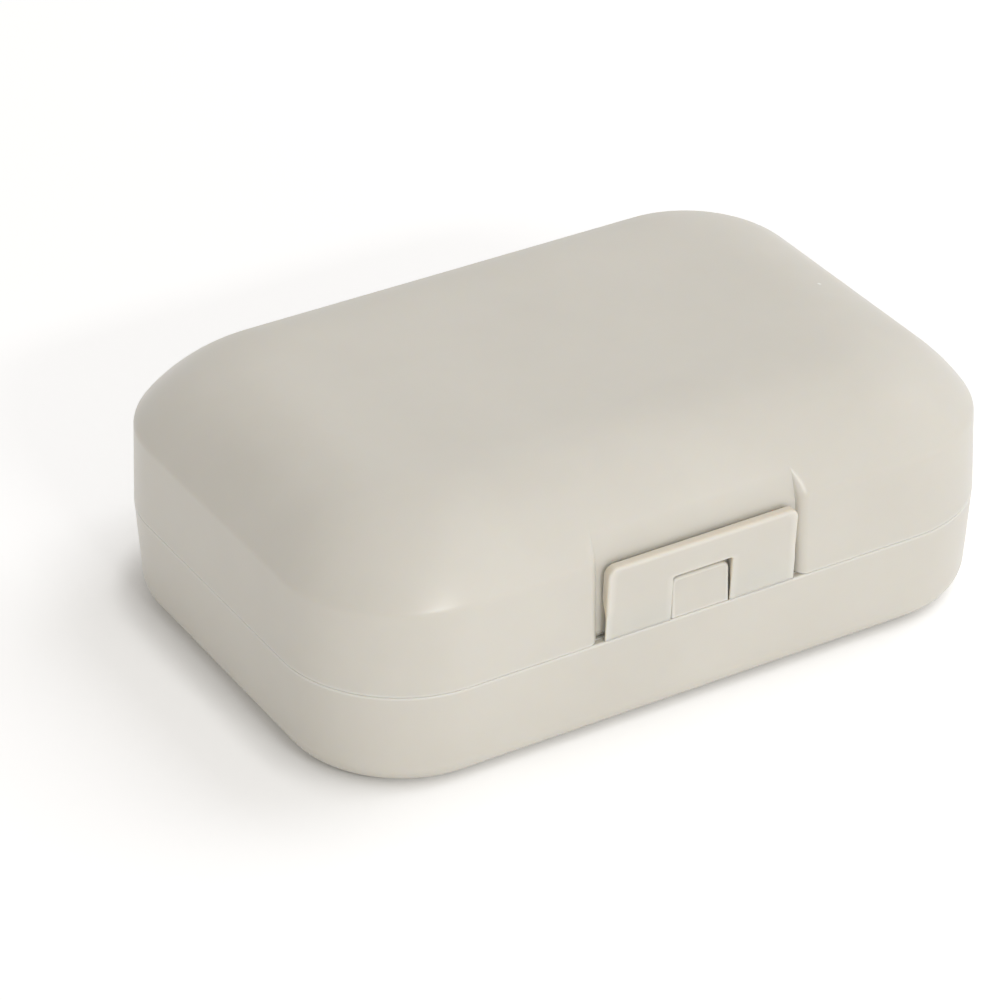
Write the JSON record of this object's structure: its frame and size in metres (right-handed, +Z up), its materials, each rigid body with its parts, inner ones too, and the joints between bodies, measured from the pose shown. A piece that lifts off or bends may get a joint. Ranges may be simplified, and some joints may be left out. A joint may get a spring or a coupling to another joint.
{
  "type": "travel soap box",
  "caption": "Rounded travel soap box with a domed lid hinged at the back, a sprung front clasp that closes over a catch, and a slotted drain tray that lifts out.",
  "frame": {"origin": "middle of the base's underside, on the surface it stands on", "axes": "+Z up, +X along the length, clasp at the front on the -Y side, hinges at the back on the +Y side"},
  "size_m": [0.11, 0.0821, 0.0386],
  "materials": {
    "shell": "satin moulded, warm off-white",
    "pin": "drawn wire, plain",
    "tray": "satin moulded, warm off-white"
  },
  "bodies": {
    "base": {"base_shell": "shell", "hinge_pin_left": "pin", "hinge_pin_right": "pin"},
    "lid": {"lid_shell": "shell"},
    "front_clasp": {"clasp": "shell"},
    "tray": {"drain_tray": "tray"}
  },
  "joints": [
    {"name": "lid_hinge", "type": "hinge", "parent": "base", "child": "lid", "pos_m": [0, 0.0407, 0.0154], "axis": [-1, 0, 0], "range_deg": [0, 145]},
    {"name": "clasp_hinge", "type": "hinge", "parent": "base", "child": "front_clasp", "pos_m": [0, -0.0382, 0.0154], "axis": [1, 0, 0], "range_deg": [0, 100], "stiffness_Nm_per_rad": 0.004},
    {"name": "tray_lift", "type": "slide", "parent": "base", "child": "tray", "axis": [0, 0, 1], "range_m": [0, 0.018]}
  ]
}
